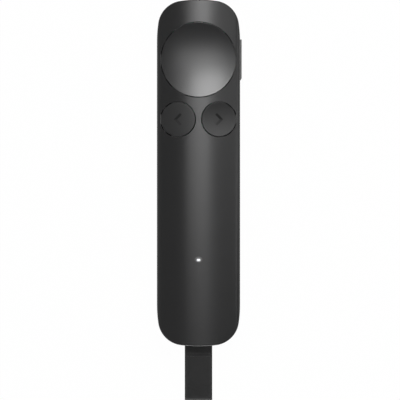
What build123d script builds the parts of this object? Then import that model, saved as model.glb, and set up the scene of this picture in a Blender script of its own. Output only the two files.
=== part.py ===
from build123d import *
import math
import os

# A wireless presentation clicker: a dished pointer key, a back key, a next key and a side key
# in a slim casing, with a radio receiver that pulls out of the rear end by its webbing strap.
# Millimetres. The origin is the centre of the flat back, +Z points up through the keys,
# +Y to the pointer end and +X to the side key.

# Casing from above: each quarter of the outline is an end arc, a corner arc and a side arc
casing_length = 130.0
casing_width = 31.2
end_arc_radius = 47.6
end_arc_turn = 8.3
# Casing from the end: a crowned top with rounded shoulders, and a flat back with round corners
casing_height = 13.0
crown_radius = 45.0
shoulder_radius = 3.0
shoulder_turn = 60.0
back_flat_width = 16.0
back_corner_turn = 60.0
rim_rounding = 0.5
casing_wall = 1.6
seam_height = 3.0
lip_height = 0.8
lip_clearance = 0.05
seam_groove_height = 0.15
seam_groove_depth = 0.2

# Keys, in plan
pointer_key_y = 42.5
pointer_key_radius = 14.05
pointer_dish_depth = 1.2
pointer_key_wall = 1.3
small_key_x = 7.65
small_key_y = 20.1
small_key_radius = 6.45
small_key_wall = 1.2
key_gap = 0.22
small_key_gap = 0.3
key_skirt_wall = 1.2
key_rim_rounding = 0.15
key_rib_thickness = 0.8
key_rib_rise = 0.8
back_key_tilt = 9.2
back_key_crown_radius = 80.0
next_key_scoop = 0.3
# How the keys are guided and held in
key_skirt_bottom = 8.5
key_ear_height = 0.6
key_ear_reach = 0.9
key_ear_width = 5.0
key_stop_gap = 0.1
well_wall = 1.0
well_depth_below_skirt = 0.6
# Chevrons engraved in the small keys
chevron_height = 4.0
chevron_stroke = 0.75
chevron_depth = 0.25
# How far each key goes down
pointer_key_travel = 0.45
small_key_travel = 0.4
side_key_travel = 0.35

# Side key
side_key_length = 15.3
side_key_height = 2.8
side_key_middle_z = 6.0
side_key_proud = 0.6
side_key_gap = 0.1
side_key_end_bevel = 0.4
side_key_ear = 1.0
side_key_ear_thickness = 0.9
side_key_ear_gap = 0.18
side_key_rib_length = 2.4
side_key_rib_margin = 0.4
side_key_edge_rounding = 0.3

# Printed circuit board
board_thickness = 0.8
board_width = 20.0
board_front_y = 57.5
board_rear_y = -42.4
board_corner = 5.0
board_screw_x = 7.8
board_screw_ys = (9.5, -38.0)
board_screw_radius = 0.7
board_screw_head_radius = 1.25
board_screw_head_height = 0.7
board_screw_length = 4.6
board_post_radius = 1.6
screw_clearance = 0.03
screw_hole_end_room = 0.4
board_hole_clearance = 0.15
board_support_radius = 1.2
board_support_x = 7.6
board_support_ys = (29.0, 51.5)

# Screws that join the two shells, in from the back
case_screw_places = ((8.0, 60.2), (-8.0, 60.2), (11.4, -52.0), (-11.4, -52.0))
case_screw_radius = 0.8
case_screw_head_radius = 1.5
case_screw_head_height = 1.0
case_screw_length = 6.0
case_screw_recess = 2.8
case_screw_seat = 1.4
case_post_radius = 1.55
case_hole_clearance = 0.1
counterbore_clearance = 0.15
case_tower_wall = 0.9
cross_slot_width = 0.3

# Tact switches
pointer_switch_width = 4.6
pointer_switch_height = 1.6
small_switch_width = 4.0
small_switch_height = 1.5
plunger_rise = 0.6
plunger_insert = 0.4
plunger_end_room = 0.15
plunger_clearance = 0.06
pointer_plunger_radius = 1.0
small_plunger_radius = 0.8
key_post_radius = 1.5
switch_leg = 0.5
switch_leg_thickness = 0.2
switch_corner = 0.3
side_switch_length = 4.4
side_switch_depth = 2.8
side_switch_height = 1.8
side_switch_overhang = 0.4
side_plunger_insert = 1.2
side_plunger_length = 2.0
side_plunger_height = 1.0

# Status light
light_y = -32.7
light_width = 1.5
light_length = 0.95
light_clearance = 0.02
light_flange = 0.5
light_foot_thickness = 1.0
light_socket_wall = 0.6
light_socket_gap = 2.0
led_width = 1.6
led_length = 0.8
led_height = 0.6
led_gap = 0.1

# Receiver bay in the rear end
bay_width = 15.2
bay_height = 5.8
bay_floor_z = 4.2
bay_depth = 20.6
sleeve_wall = 0.6
sleeve_end_wall = 1.0
sleeve_mouth_gap = 0.95
sleeve_rib_width = 12.0
sleeve_rib_thickness = 1.0
sleeve_rib_margin = 5.0
# Receiver
cap_length = 8.4
cap_side_gap = 0.15
cap_face_gap = 0.1
plug_width = 12.0
plug_height = 4.5
plug_length = 12.0
plug_root = 1.0
plug_wall = 0.3
plug_corner = 0.5
plug_fit = 0.02
plug_window_x = 2.9
plug_window_width = 2.2
plug_window_length = 2.4
plug_window_from_tip = 6.2
tongue_side_gap = 0.2
tongue_tip_gap = 0.4
receiver_board_thickness = 0.6
receiver_board_width = 10.4
receiver_board_root = 3.6
receiver_board_tip_gap = 0.8
receiver_board_room = 0.2
receiver_chip_room = 0.9
cap_edge_rounding = 0.4
contact_xs = (-3.5, -1.0, 1.0, 3.5)
contact_width = 1.0
contact_length = 7.3
contact_thickness = 0.12
contact_from_tip = 1.2
detent_gap = 0.05
detent_thickness = 0.2
detent_width = 3.0
detent_from_bay_end = 1.5
# Along the leaf: flat foot, ramp, the run on the plug, and the ramp back
detent_runs = (2.5, 2.5, 1.0, 2.5)
detent_tail_gap = 0.1

# Strap
strap_width = 10.3
strap_thickness = 0.75
strap_reach = 20.4
strap_neck = 3.2
strap_neck_opening = 0.45
strap_flare_start = 17.0
strap_fold_opening = 1.15
strap_swing = 30.0
bar_radius = 0.75
bar_from_end = 2.0
bar_clearance = 0.075
bar_end_gap = 0.25
recess_clearance = 0.12
recess_length = 4.0
recess_side_gap = 0.15

# Charging port
port_width = 8.94
port_height = 3.2
port_depth = 7.3
port_wall = 0.3
port_corner = 1.25
port_overhang = 0.5
port_tongue_width = 6.7
port_tongue_thickness = 0.7
port_tongue_length = 5.0
port_tongue_recess = 1.0
port_window_gap = 0.25

# Battery and vibration motor
battery_width = 17.0
battery_length = 34.0
battery_thickness = 2.6
battery_rear_y = -32.0
battery_side_rounding = 1.0
battery_end_rounding = 0.4
battery_tape_thickness = 0.2
battery_tape_margin = 2.0
guard_board_length = 2.0
guard_board_width = 13.0
guard_board_height = 1.9
guard_board_lift = 0.2
connector_length = 3.6
connector_width = 4.4
connector_height = 1.7
connector_bevel = 0.3
lead_radius = 0.4
lead_pitch = 1.3
lead_bend = 1.1
lead_slot_gap = 0.4
# From the battery to the rise through the board, above the board, and on to the connector
battery_lead_run = 3.2
battery_lead_rise = 0.9
connector_lead_run = 2.6
motor_y = 37.0
motor_radius = 4.0
motor_thickness = 2.6
motor_rounding = 0.3
motor_lead_gap = 0.15
motor_lead_height = 1.1
motor_lead_run = 3.0

# Other things on the board
shield_y = -8.5
shield_width = 13.0
shield_length = 12.0
shield_height = 1.7
shield_wall = 0.2
shield_corner = 0.5
capacitor_length = 1.0
capacitor_width = 0.5
capacitor_pitch = 1.4
# The first capacitor of each row
capacitor_places = ((-8.6, -18.0), (8.6, -18.0), (-3.2, -25.4), (3.4, 1.6), (-3.4, 52.0))
antenna_width = 3.2
antenna_length = 1.6
antenna_height = 1.1
antenna_bevel = 0.1
antenna_from_end = 1.6
chip_dimple_radius = 0.2
chip_dimple_depth = 0.05
chip_dimple_margin = 0.6

node_folder = "parts"

# How far a tool runs past what it cuts, and a piece into what it joins
past = 1.0
bite = 0.5

# Places that follow from the sizes above
half_length = casing_length / 2
half_width = casing_width / 2
back_corner_reach = half_width - back_flat_width / 2
back_corner_radius = back_corner_reach / math.sin(math.radians(back_corner_turn))
floor_z = casing_wall
bay_middle_z = bay_floor_z + bay_height / 2
board_top = bay_middle_z - port_height / 2
board_bottom = board_top - board_thickness
pointer_hole_radius = pointer_key_radius + key_gap
small_hole_radius = small_key_radius + small_key_gap
ear_top = key_skirt_bottom + key_ear_height
well_bottom = ear_top + key_stop_gap
pocket_bottom = key_skirt_bottom - well_depth_below_skirt
bay_end_y = -half_length + bay_depth
cap_end_y = -half_length + cap_length
plug_end_y = cap_end_y + plug_length
bar_y = -half_length + bar_from_end
case_post_foot = case_screw_recess + case_screw_seat
plunger_top_pointer = board_top + pointer_switch_height + plunger_rise
plunger_top_small = board_top + small_switch_height + plunger_rise


def block(x_range, y_range, z_range):
    """A box between two values on each axis."""
    middle = [(low + high) / 2 for low, high in (x_range, y_range, z_range)]
    sizes = [high - low for low, high in (x_range, y_range, z_range)]
    return Pos(*middle) * Box(*sizes)


def centred(middle, size):
    """The two ends of a length about its middle."""
    return (middle - size / 2, middle + size / 2)


def disc(radius, x, y, z_range):
    """An upright cylinder between two heights."""
    low, high = z_range
    return Pos(x, y, (low + high) / 2) * Cylinder(radius, high - low)


def arc_radius(reach, rise):
    """The radius of an arc that rises by an amount at a reach from its middle."""
    return (reach ** 2 + rise ** 2) / (2 * rise)


def polar(radius, degrees):
    """The x and y of a point at an angle from +X."""
    turn = math.radians(degrees)
    return radius * math.cos(turn), radius * math.sin(turn)


def plan_outline(inset):
    """The casing's outline from above, moved inwards by an inset."""
    side_x = half_width - inset
    end_y = half_length - inset
    turn = math.radians(end_arc_turn)
    across, along = math.cos(turn), math.sin(turn)
    corner_radius = half_width - end_arc_radius * (along + 1 - across)
    corner_radius = corner_radius / (across - along)
    arc_radius = end_arc_radius - inset
    side_middle = (half_width - end_arc_radius, half_length - half_width)
    reach = end_arc_radius - corner_radius
    corner_middle = (side_middle[0] + reach * across, side_middle[1] + reach * along)
    straight = half_length - half_width
    quarter = [
        Line((side_x, 0), (side_x, straight)),
        CenterArc(side_middle, arc_radius, 0, end_arc_turn),
        CenterArc(corner_middle, corner_radius - inset, end_arc_turn, 90 - 2 * end_arc_turn),
        CenterArc((0, end_y - arc_radius), arc_radius, 90 - end_arc_turn, end_arc_turn),
    ]
    right = quarter + [mirror(edge, Plane.XZ) for edge in quarter]
    left = [mirror(edge, Plane.YZ) for edge in right]
    return make_face(right + left)


# The crown meets the shoulder arc here, at every inset
crown_turn = math.degrees(math.asin(
    (half_width - shoulder_radius * math.sin(math.radians(shoulder_turn)))
    / (crown_radius - shoulder_radius)
))
crown_middle = (0, casing_height - crown_radius)
shoulder_offset = polar(crown_radius - shoulder_radius, 90 - crown_turn)
shoulder_middle = (shoulder_offset[0], crown_middle[1] + shoulder_offset[1])
back_corner_middle = (back_flat_width / 2, back_corner_radius)


def section_outline(inset):
    """The casing's cross-section, x across and y up, moved inwards by an inset."""
    side_x = half_width - inset
    crown = crown_radius - inset
    shoulder = shoulder_radius - inset
    corner = back_corner_radius - inset
    shoulder_end = math.degrees(math.asin((side_x - shoulder_middle[0]) / shoulder))
    corner_end = math.degrees(math.asin((side_x - back_corner_middle[0]) / corner))
    top_z = shoulder_middle[1] + polar(shoulder, 90 - shoulder_end)[1]
    low_z = back_corner_middle[1] - polar(corner, 90 - corner_end)[1]
    right = [
        CenterArc(crown_middle, crown, 90 - crown_turn, crown_turn),
        CenterArc(shoulder_middle, shoulder, 90 - shoulder_end, shoulder_end - crown_turn),
        Line((side_x, top_z), (side_x, low_z)),
        CenterArc(back_corner_middle, corner, -90, corner_end),
        Line((back_flat_width / 2, inset), (0, inset)),
    ]
    left = [mirror(edge, Plane.YZ) for edge in right]
    return Plane.XZ * make_face(right + left)


def casing_form(inset):
    """The casing's solid form, moved inwards by an inset."""
    from_above = extrude(plan_outline(inset), casing_height + past)
    from_the_end = extrude(section_outline(inset), half_length, both=True)
    return from_above & from_the_end


def crown_height(x):
    """Height of the casing's top surface at a distance from its middle line."""
    x = abs(x)
    if x < crown_radius * math.sin(math.radians(crown_turn)):
        return crown_middle[1] + math.sqrt(crown_radius ** 2 - x ** 2)
    return shoulder_middle[1] + math.sqrt(shoulder_radius ** 2 - (x - shoulder_middle[0]) ** 2)


def seam_outline(inset):
    """The casing's outline in the plane of the seam, moved inwards by an inset."""
    corner = back_corner_radius - inset
    reach = math.sqrt(corner ** 2 - (back_corner_radius - seam_height) ** 2)
    strip = Rectangle(back_flat_width + 2 * reach, casing_length)
    return plan_outline(inset) & strip


def seam_plug(inset, z_range):
    """The seam's outline stretched between two heights."""
    low, high = z_range
    return Pos(0, 0, low) * extrude(seam_outline(inset), high - low)


def between(low, high):
    """A slab of everything in reach between two heights."""
    return block(centred(0, casing_length), centred(0, 2 * casing_length), (low, high))


def above(z):
    return between(z, z + casing_length)


def below(z):
    return between(z - casing_length, z)


# The curved tops of the keys, as the space above each one

dish_middle_z = casing_height - pointer_dish_depth
dish_side_drop = dish_middle_z - crown_height(pointer_key_radius)
dish_along_radius = arc_radius(pointer_key_radius, pointer_dish_depth)
dish_across_radius = arc_radius(pointer_key_radius, dish_side_drop)


def space_above_dish(drop):
    """Above the saddle that is flush with the crown all round the pointer key's rim."""
    reach = pointer_hole_radius + 4
    middle_z = dish_middle_z - drop
    end_z = middle_z - dish_across_radius + math.sqrt(dish_across_radius ** 2 - reach ** 2)
    saddle = ThreePointArc((-reach, end_z), (0, middle_z), (reach, end_z))
    roof_z = middle_z + casing_height
    walls = Polyline((reach, end_z), (reach, roof_z), (-reach, roof_z), (-reach, end_z))
    section = Plane.XZ.offset(-pointer_key_y) * make_face([saddle, walls])
    turning = Axis((0, pointer_key_y, dish_middle_z + dish_along_radius), (1, 0, 0))
    sweep = 2 * math.degrees(math.asin(reach / dish_along_radius))
    lifted = section.rotate(turning, -sweep / 2)
    return revolve(lifted, turning, sweep)


small_key_outer_z = crown_height(small_key_x + small_key_radius)
small_key_inner_z = crown_height(small_key_x - small_key_radius)
back_tilt_rise = small_key_radius * math.tan(math.radians(back_key_tilt))
back_crown_sag = small_key_radius ** 2 / (2 * back_key_crown_radius)
back_key_middle_z = small_key_outer_z + back_tilt_rise + back_crown_sag
next_key_tilt = math.degrees(math.atan2(
    small_key_inner_z - small_key_outer_z, 2 * small_key_radius
))
next_key_middle_z = (small_key_inner_z + small_key_outer_z) / 2
next_key_scoop_radius = arc_radius(small_key_radius, next_key_scoop)
key_tool_size = 2.2 * small_key_radius


def space_above_back_key(drop):
    """Above a slightly crowned face that falls towards the casing's left edge."""
    across, up = polar(back_key_crown_radius, 90 - back_key_tilt)
    middle = (across - small_key_x, small_key_y, back_key_middle_z - drop - up)
    roll = Cylinder(back_key_crown_radius, key_tool_size, rotation=(90, 0, 0))
    room = block(
        centred(-small_key_x, key_tool_size), centred(small_key_y, key_tool_size - past),
        centred(back_key_middle_z, casing_height),
    )
    return room - Pos(*middle) * roll


def space_above_next_key(drop):
    """Above a face scooped along the casing that falls towards its right edge."""
    across, up = polar(next_key_scoop_radius, 90 - next_key_tilt)
    middle = (small_key_x + across, small_key_y, next_key_middle_z - drop + up)
    scoop = Cylinder(next_key_scoop_radius, 2 * key_tool_size, rotation=(0, 90, 0))
    room = block(
        centred(small_key_x, key_tool_size), centred(small_key_y, key_tool_size),
        centred(next_key_middle_z, casing_height),
    )
    return room & (Pos(*middle) * Rot(0, next_key_tilt, 0) * scoop)


def key_cap(x, y, radius, ceiling, space_above, ears, plunger_top):
    """A hollow key with a skirt, ears that stop it under its well, and a post to its switch."""
    body = disc(radius, x, y, (key_skirt_bottom, casing_height + past))
    hollow = disc(radius - key_skirt_wall, x, y, (key_skirt_bottom - past, casing_height + past))
    hollow = hollow - space_above(ceiling)
    post = disc(key_post_radius, x, y, (plunger_top, casing_height))
    rib_heights = (key_skirt_bottom + key_rib_rise, casing_height)
    rib_length = 2 * radius - key_skirt_wall
    ribs = block(centred(x, rib_length), centred(y, key_rib_thickness), rib_heights)
    ribs += block(centred(x, key_rib_thickness), centred(y, rib_length), rib_heights)
    cap = body - hollow + ribs + post
    cap = cap - space_above(0)
    rim = [edge for edge in cap.edges() if is_rim(edge, x, y, radius)]
    cap = fillet(rim, key_rim_rounding)
    for angle in ears:
        ear = block((radius - bite, radius + key_ear_reach), centred(0, key_ear_width),
                    (key_skirt_bottom, ear_top))
        cap += Pos(x, y, 0) * Rot(0, 0, angle) * ear
    return cap


def is_rim(edge, x, y, radius):
    """Whether an edge lies round the top of a key's outer wall."""
    spot = edge.position_at(0.5)
    from_axis = math.hypot(spot.X - x, spot.Y - y)
    return abs(from_axis - radius) < 0.01 and spot.Z > ear_top


def chevron(x, y, points_right):
    """A right-angled arrow head standing through a key's top."""
    side = 1 if points_right else -1
    reach = chevron_height / 2
    tip = x + side * reach / 2
    path = Polyline((tip - side * reach, y + reach), (tip, y), (tip - side * reach, y - reach))
    outline = trace(path, chevron_stroke)
    return Pos(0, 0, key_skirt_bottom) * extrude(outline, casing_height)


def pointer_key():
    ears = (60, 120, 240, 300)
    return key_cap(0, pointer_key_y, pointer_key_radius, pointer_key_wall,
                   space_above_dish, ears, plunger_top_pointer)


def back_key():
    key = key_cap(-small_key_x, small_key_y, small_key_radius, small_key_wall,
                  space_above_back_key, (90, 270), plunger_top_small)
    mark = chevron(-small_key_x, small_key_y, False) & space_above_back_key(chevron_depth)
    return key - mark


def next_key():
    key = key_cap(small_key_x, small_key_y, small_key_radius, small_key_wall,
                  space_above_next_key, (90, 270), plunger_top_small)
    mark = chevron(small_key_x, small_key_y, True) & space_above_next_key(chevron_depth)
    return key - mark


def key_places():
    """Middle and hole radius of each round key."""
    return (
        (0, pointer_key_y, pointer_hole_radius),
        (-small_key_x, small_key_y, small_hole_radius),
        (small_key_x, small_key_y, small_hole_radius),
    )


def bay_space(grow):
    """The receiver bay's room, open at the rear end."""
    return block(
        centred(0, bay_width + 2 * grow), (-half_length - past, bay_end_y),
        (bay_floor_z - grow, bay_floor_z + bay_height + grow),
    )


def light_outline(grow):
    """The status light's pill, seen from above."""
    pill = SlotOverall(light_width + 2 * grow, light_length + 2 * grow)
    return Pos(0, light_y) * pill


def rounded_casing():
    """The casing's outer form with its rims rounded where the top and back meet the walls."""
    form = casing_form(0)
    wall_line = plan_outline(0).wire()
    rims = []
    for edge in form.edges():
        spot = edge.position_at(0.5)
        level = abs(edge.position_at(0).Z - edge.position_at(1).Z) < 0.98 * edge.length
        on_wall = wall_line.distance_to(Vertex(spot.X, spot.Y, 0)) < 0.01
        if on_wall and level:
            rims.append(edge)
    return fillet(rims, rim_rounding)


def front_shell():
    outer = rounded_casing()
    inside = casing_form(casing_wall / 2)
    shell = (outer - casing_form(casing_wall)) & above(seam_height)
    shell = shell - seam_plug(casing_wall / 2, (seam_height - past, seam_height + lip_height))
    for x, y, radius in key_places():
        shell += disc(radius + well_wall, x, y, (well_bottom, casing_height)) & inside
    for x in (-board_screw_x, board_screw_x):
        for y in board_screw_ys:
            shell += disc(board_post_radius, x, y, (board_top, casing_height)) & inside
    for x, y in case_screw_places:
        shell += disc(case_post_radius, x, y, (case_post_foot, casing_height)) & inside
    pipe_socket = extrude(light_outline(light_clearance + light_socket_wall), casing_height)
    shell += pipe_socket & inside & above(board_top + led_height + light_socket_gap)
    for x, y, radius in key_places():
        shell -= disc(radius, x, y, (pocket_bottom, casing_height + past))
    shell -= extrude(light_outline(light_clearance), casing_height + past)
    for x in (-board_screw_x, board_screw_x):
        for y in board_screw_ys:
            top = board_bottom + board_screw_length + screw_hole_end_room
            shell -= disc(board_screw_radius + screw_clearance, x, y, (board_bottom, top))
    for x, y in case_screw_places:
        top = case_screw_recess + case_screw_length + screw_hole_end_room
        shell -= disc(case_screw_radius + screw_clearance, x, y, (0, top))
    shell -= between(seam_height, seam_height + seam_groove_height) - casing_form(seam_groove_depth)
    shell -= bay_space(0)
    shell -= side_key_opening()
    return shell


def rear_shell():
    outer = rounded_casing()
    inside = casing_form(casing_wall / 2)
    shell = (outer - casing_form(casing_wall)) & below(seam_height)
    lip_heights = (seam_height, seam_height + lip_height)
    lip = seam_plug(casing_wall / 2 + lip_clearance, lip_heights) - seam_plug(casing_wall, lip_heights)
    shell += lip
    head_bore = case_screw_head_radius + counterbore_clearance
    tower_room = casing_form(casing_wall) + (casing_form(casing_wall / 2) & below(seam_height))
    for x, y in case_screw_places:
        shell += disc(head_bore + case_tower_wall, x, y, (0, case_post_foot)) & tower_room
    for x in (-board_support_x, board_support_x):
        for y in board_support_ys:
            shell += disc(board_support_radius, x, y, (floor_z - bite, board_bottom))
    for y in (bay_end_y - sleeve_rib_margin, -half_length + sleeve_rib_margin):
        shell += block(centred(0, sleeve_rib_width), centred(y, sleeve_rib_thickness),
                       (floor_z - bite, bay_floor_z - sleeve_wall))
    for x, y in case_screw_places:
        shell -= disc(head_bore, x, y, (-past, case_screw_recess))
        shell -= disc(case_screw_radius + case_hole_clearance, x, y, (-past, case_post_foot + past))
    return shell


def side_key_opening():
    """The slot through the casing's right wall."""
    return block(
        (half_width - casing_wall - past, half_width + past),
        centred(pointer_key_y, side_key_length + 2 * side_key_gap),
        centred(side_key_middle_z, side_key_height + 2 * side_key_gap),
    )


side_key_inner_x = half_width - casing_wall - side_key_ear_gap - side_key_ear_thickness


def side_key():
    face = half_width + side_key_proud
    y_low, y_high = centred(pointer_key_y, side_key_length)
    bevel = side_key_end_bevel
    outline = Polyline(
        (side_key_inner_x, y_low), (face - bevel, y_low),
        (face, y_low + 2 * bevel), (face, y_high), (side_key_inner_x, y_high),
        (side_key_inner_x, y_low),
    )
    low, high = centred(side_key_middle_z, side_key_height)
    key = Pos(0, 0, low) * extrude(make_face(outline), side_key_height)
    outer_edges = [
        edge for edge in key.edges()
        if edge.position_at(0.5).X > face - 0.01 and abs(edge.tangent_at(0.5).Y) > 0.9
    ]
    key = fillet(outer_edges, side_key_edge_rounding)
    ear_front = side_key_inner_x + side_key_ear_thickness
    key += block(
        (side_key_inner_x, ear_front),
        centred(pointer_key_y, side_key_length + 2 * side_key_gap + 2 * side_key_ear),
        (low, high),
    )
    key += block((side_plunger_end, side_key_inner_x), centred(pointer_key_y, side_key_rib_length),
                 (low + side_key_rib_margin, high))
    return key


# The side key's inner rib meets its switch's plunger here
side_switch_face = board_width / 2 + side_switch_overhang
side_plunger_end = side_switch_face + plunger_rise


def side_switch_body():
    """Right-angle tact switch on the board's edge."""
    body = block((side_switch_face - side_switch_depth, side_switch_face),
                 centred(pointer_key_y, side_switch_length),
                 (board_top, board_top + side_switch_height))
    return fillet(body.edges().filter_by(Axis.Y), switch_corner)


def side_plunger_box(grow, deeper):
    """The side switch's button, or the room for it, lying along X."""
    inner_x = side_switch_face - side_plunger_insert - deeper
    middle = board_top + side_switch_height / 2
    return block(
        (inner_x, side_plunger_end),
        centred(pointer_key_y, side_plunger_length + 2 * grow),
        centred(middle, side_plunger_height + 2 * grow),
    )


def side_switch():
    room = side_plunger_box(plunger_clearance, side_key_travel + plunger_end_room)
    return side_switch_body() - room


def tact_switch(x, y, width, height, plunger_radius, travel):
    """Square switch body with four legs and a round hole for its plunger."""
    body = block(centred(x, width), centred(y, width), (board_top, board_top + height))
    body = fillet(body.edges().filter_by(Axis.Z), switch_corner)
    for side in (-1, 1):
        for place in (-1, 1):
            leg_x = x + side * width / 2
            leg_y = y + place * width / 3
            body += block(centred(leg_x, 2 * switch_leg), centred(leg_y, switch_leg),
                          (board_top, board_top + switch_leg_thickness))
    well_top = board_top + height
    well_low = well_top - plunger_insert - travel - plunger_end_room
    return body - disc(plunger_radius + plunger_clearance, x, y, (well_low, well_top + past))


def tact_plunger(x, y, height, plunger_radius, plunger_top):
    """The button in a tact switch."""
    low = board_top + height - plunger_insert
    return disc(plunger_radius, x, y, (low, plunger_top))


def main_board():
    y_middle = (board_front_y + board_rear_y) / 2
    outline = Rectangle(board_width, board_front_y - board_rear_y)
    board = Pos(0, y_middle, board_bottom) * extrude(outline, board_thickness)
    corners = [edge for edge in board.edges().filter_by(Axis.Z) if edge.center().Y > y_middle]
    board = fillet(corners, board_corner)
    for x in (-board_screw_x, board_screw_x):
        for y in board_screw_ys:
            board -= disc(board_screw_radius + board_hole_clearance, x, y, (0, casing_height))
    slot_width = 2 * (lead_radius + lead_slot_gap)
    return board - block(centred(0, lead_pitch + slot_width), centred(battery_leads_turn_y, slot_width),
                         (0, casing_height))


# Battery pack, and the route of its leads up through the board

battery_front_y = battery_rear_y + battery_length
guard_front_y = battery_front_y + guard_board_length
battery_low_z = floor_z + battery_tape_thickness
guard_board_low_z = battery_low_z + guard_board_lift
battery_leads_z = guard_board_low_z + guard_board_height / 2
battery_leads_turn_y = guard_front_y + battery_lead_run
battery_leads_top_z = board_top + battery_lead_rise
connector_rear_y = battery_leads_turn_y + connector_lead_run


def battery_cell():
    cell = block(centred(0, battery_width), (battery_rear_y, battery_front_y),
                 (battery_low_z, battery_low_z + battery_thickness))
    cell = fillet(cell.edges().filter_by(Axis.Y), battery_side_rounding)
    return fillet(cell.faces().sort_by(Axis.Y)[0].edges(), battery_end_rounding)


def battery_guard_board():
    return block(centred(0, guard_board_width), (battery_front_y, guard_front_y),
                 (guard_board_low_z, guard_board_low_z + guard_board_height))


def battery_tape():
    return block(centred(0, battery_width - 2 * battery_tape_margin),
                 (battery_rear_y + battery_tape_margin, battery_front_y - battery_tape_margin),
                 (floor_z, floor_z + battery_tape_thickness))


def lead(points):
    """A round insulated lead along straight runs joined by tangent arcs."""
    path = FilletPolyline(*points, radius=lead_bend) if len(points) > 2 else Polyline(*points)
    start = Plane(origin=points[0], z_dir=path.tangent_at(0))
    return sweep(start * Circle(lead_radius), path)


def lead_pair(points):
    """Two leads side by side across the casing."""
    pair = []
    for side in (-1, 1):
        x = side * lead_pitch / 2
        pair.append(lead([(x, y, z) for y, z in points]))
    return Compound(children=pair)


def battery_leads():
    return lead_pair((
        (guard_front_y, battery_leads_z),
        (battery_leads_turn_y, battery_leads_z),
        (battery_leads_turn_y, battery_leads_top_z),
        (connector_rear_y, battery_leads_top_z),
    ))


def battery_connector():
    body = block(centred(0, connector_width), (connector_rear_y, connector_rear_y + connector_length),
                 (board_top, board_top + connector_height))
    return chamfer(body.edges().filter_by(Axis.Y).sort_by(Axis.Z)[2:], connector_bevel)


def vibration_motor():
    can = disc(motor_radius, 0, motor_y, (floor_z, floor_z + motor_thickness))
    return fillet(can.faces().sort_by(Axis.Z)[-1].edges(), motor_rounding)


def motor_leads():
    start_y = motor_y + math.sqrt(motor_radius ** 2 - (lead_pitch / 2) ** 2) + motor_lead_gap
    turn_y = start_y + motor_lead_run
    z = floor_z + motor_lead_height
    return lead_pair(((start_y, z), (turn_y, z), (turn_y, board_bottom)))


def chip(x, y, size_x, size_y, height):
    """A moulded chip on the board with a pin-one dimple."""
    body = block(centred(x, size_x), centred(y, size_y), (board_top, board_top + height))
    dimple = disc(chip_dimple_radius, x - size_x / 2 + chip_dimple_margin,
                  y + size_y / 2 - chip_dimple_margin,
                  (board_top + height - chip_dimple_depth, casing_height))
    return body - dimple


def radio_shield():
    can = block(centred(0, shield_width), centred(shield_y, shield_length),
                (board_top, board_top + shield_height))
    can = fillet(can.edges().filter_by(Axis.Z), shield_corner)
    room = block(centred(0, shield_width - 2 * shield_wall),
                 centred(shield_y, shield_length - 2 * shield_wall),
                 (board_bottom, board_top + shield_height - shield_wall))
    return can - room


def board_capacitors():
    """Small chip capacitors in rows beside the chips that they serve."""
    pieces = []
    for x, y in capacitor_places:
        for number in range(3):
            place = y + number * capacitor_pitch
            pieces.append(block(centred(x, capacitor_length), centred(place, capacitor_width),
                                (board_top, board_top + capacitor_width)))
    return Compound(children=pieces)


def chip_antenna():
    body = block(centred(0, antenna_width), centred(board_front_y - antenna_from_end, antenna_length),
                 (board_top, board_top + antenna_height))
    return chamfer(body.faces().sort_by(Axis.Z)[-1].edges(), antenna_bevel)


def status_led():
    return block(centred(0, led_width), centred(light_y, led_length),
                 (board_top, board_top + led_height))


def light_pipe():
    foot_z = board_top + led_height + led_gap
    pipe = extrude(light_outline(0), casing_height + past) & casing_form(0) & above(foot_z)
    foot = extrude(light_outline(light_flange), light_foot_thickness)
    return pipe + Pos(0, 0, foot_z) * foot


def port_outline(inset):
    outline = RectangleRounded(port_width - 2 * inset, port_height - 2 * inset, port_corner - inset)
    return Plane.XZ * Pos(0, bay_middle_z) * outline


port_mouth_y = board_rear_y - port_overhang
port_inner_y = port_mouth_y + port_depth


def along_y(outline, y_low, y_high):
    """An outline in the XZ plane stretched between two values of y."""
    return Pos(0, y_high, 0) * extrude(outline, y_high - y_low)


def charging_port_shell():
    shell = along_y(port_outline(0), port_mouth_y, port_inner_y)
    return shell - along_y(port_outline(port_wall), port_mouth_y - past, port_inner_y + past)


def charging_port_tongue():
    base_length = port_depth - port_tongue_length - port_tongue_recess
    base = along_y(port_outline(port_wall + plug_fit), port_inner_y - base_length, port_inner_y)
    tongue = block(centred(0, port_tongue_width),
                   (port_inner_y - base_length - port_tongue_length, port_inner_y),
                   centred(bay_middle_z, port_tongue_thickness))
    return base + tongue


def receiver_sleeve():
    """Moulded liner of the receiver bay, with a window for the charging plug at its inner end."""
    mouth_y = -half_length + casing_wall + sleeve_mouth_gap
    outer = block(
        centred(0, bay_width + 2 * sleeve_wall), (mouth_y, bay_end_y + sleeve_end_wall),
        (bay_floor_z - sleeve_wall, bay_floor_z + bay_height + sleeve_wall),
    )
    window = along_y(port_outline(-port_window_gap), bay_end_y - past, port_inner_y)
    return outer - bay_space(0) - window


def detent_springs():
    """A leaf spring on each side wall of the bay that bears on the receiver's plug."""
    wall_x = bay_width / 2 - detent_thickness / 2
    tip_x = plug_width / 2 + detent_gap + detent_thickness / 2
    y = bay_end_y - detent_from_bay_end
    points = [(wall_x, y)]
    for x, run in zip((wall_x, tip_x, tip_x, wall_x - detent_tail_gap), detent_runs):
        y -= run
        points.append((x, y))
    leaf = extrude(trace(Polyline(*points), detent_thickness), detent_width)
    leaf = Pos(0, 0, bay_middle_z - detent_width / 2) * leaf
    return Compound(children=[leaf, mirror(leaf, Plane.YZ)])


def cap_recess():
    """The flared hollow that the strap swings in, open at the rear end."""
    lean = strap_swing - strap_wrap_slope
    wrap = strap_bar_opening + strap_thickness / 2 + recess_clearance
    far_radius = wrap + recess_length * math.sin(math.radians(lean))
    circles = Circle(wrap).edges() + (Pos(-recess_length, 0) * Circle(far_radius)).edges()
    return strap_plane * make_hull(circles)


# Strap, in the plane across its width: x towards the pointer end and y up, from the bar

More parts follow.
